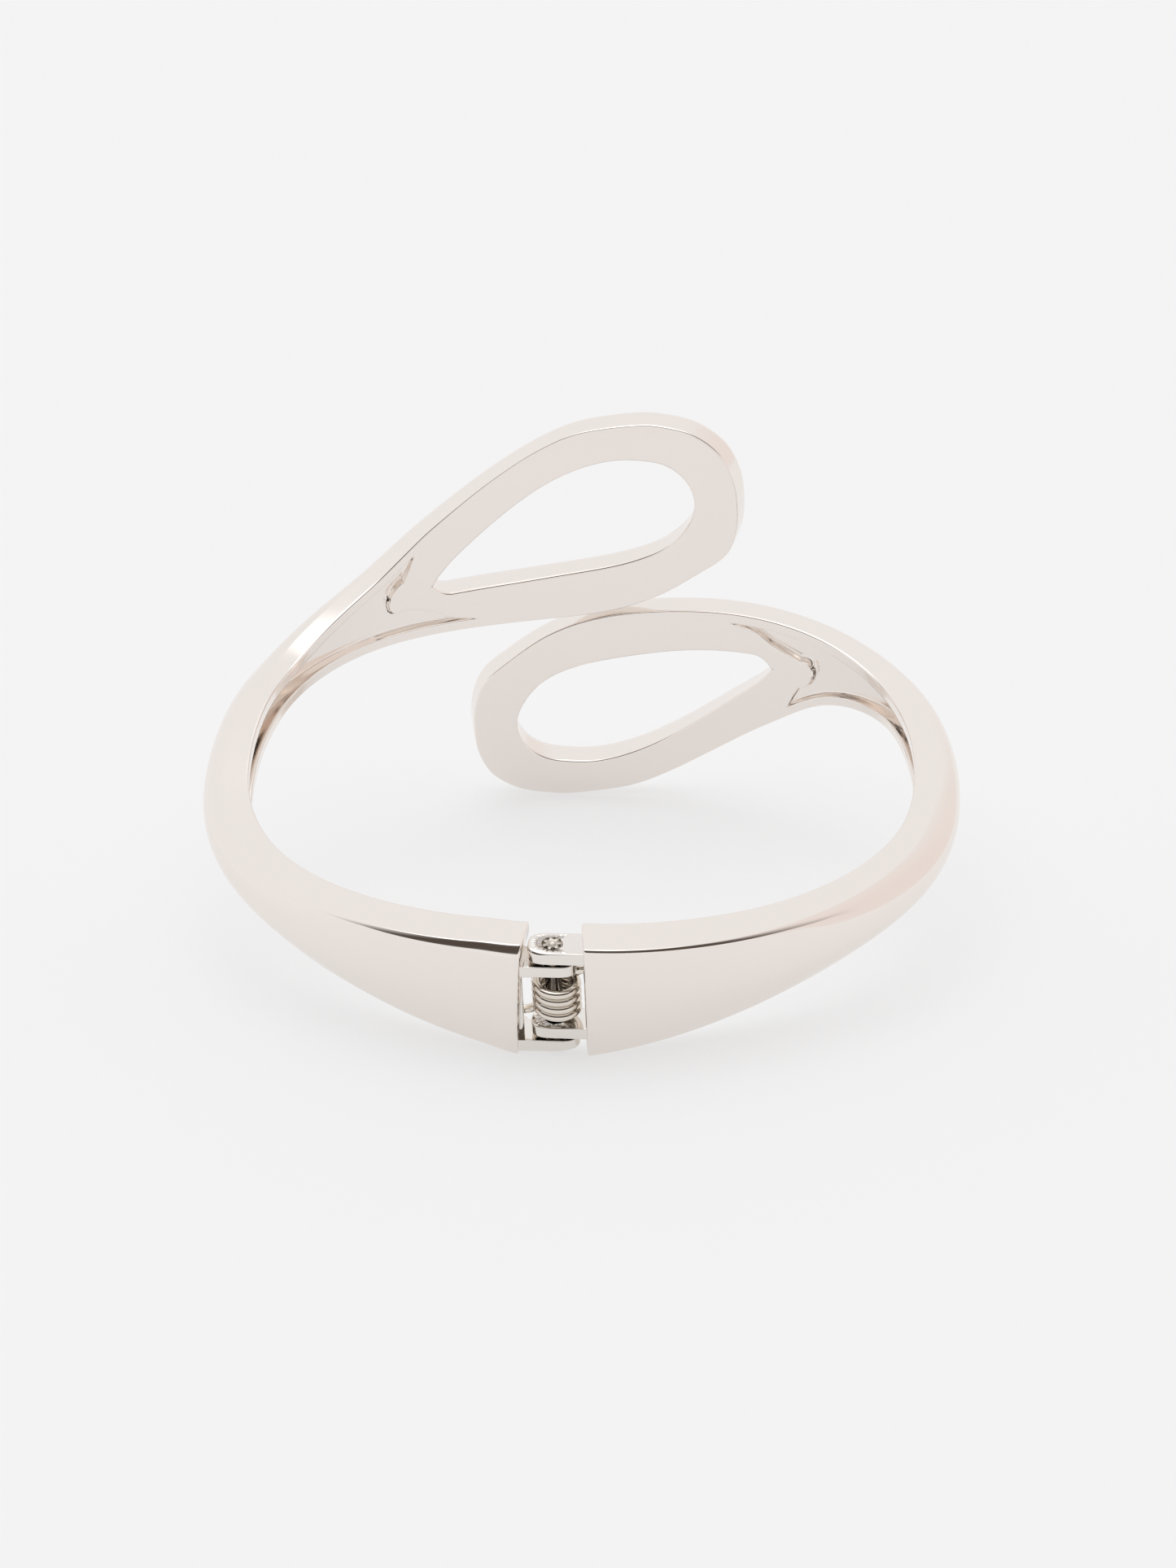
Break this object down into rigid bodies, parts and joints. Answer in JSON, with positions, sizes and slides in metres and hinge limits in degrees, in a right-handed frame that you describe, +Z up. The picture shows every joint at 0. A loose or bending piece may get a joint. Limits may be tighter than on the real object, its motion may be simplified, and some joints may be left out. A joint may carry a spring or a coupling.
{
  "type": "bangle bracelet",
  "caption": "Hinged oval bangle whose two polished arms bypass each other at the front in open teardrop loops, with a sprung hinge at the back.",
  "frame": {"origin": "centre of the box, at the table the bangle lies on", "axes": "+X from the left arm to the right arm, -Y towards the hinge, +Z up from the table"},
  "size_m": [0.0654, 0.062, 0.0405],
  "materials": {
    "polished_silver": "mirror polished rhodium plate",
    "pin_steel": "polished",
    "spring_steel": "drawn wire, bright"
  },
  "bodies": {
    "left_half": {"left_arm": "polished_silver", "left_hinge_bracket": "polished_silver", "torsion_spring": "spring_steel"},
    "right_half": {"right_arm": "polished_silver", "right_hinge_bracket": "polished_silver", "hinge_pin": "pin_steel"}
  },
  "joints": [
    {"name": "hinge", "type": "hinge", "parent": "left_half", "child": "right_half", "pos_m": [0, -0.02803, 0.00589], "axis": [0, 0.2672, -0.9636], "range_deg": [0, 50], "stiffness_Nm_per_rad": 0.02, "springref_deg": -34.38, "deforming": ["torsion_spring"]}
  ]
}
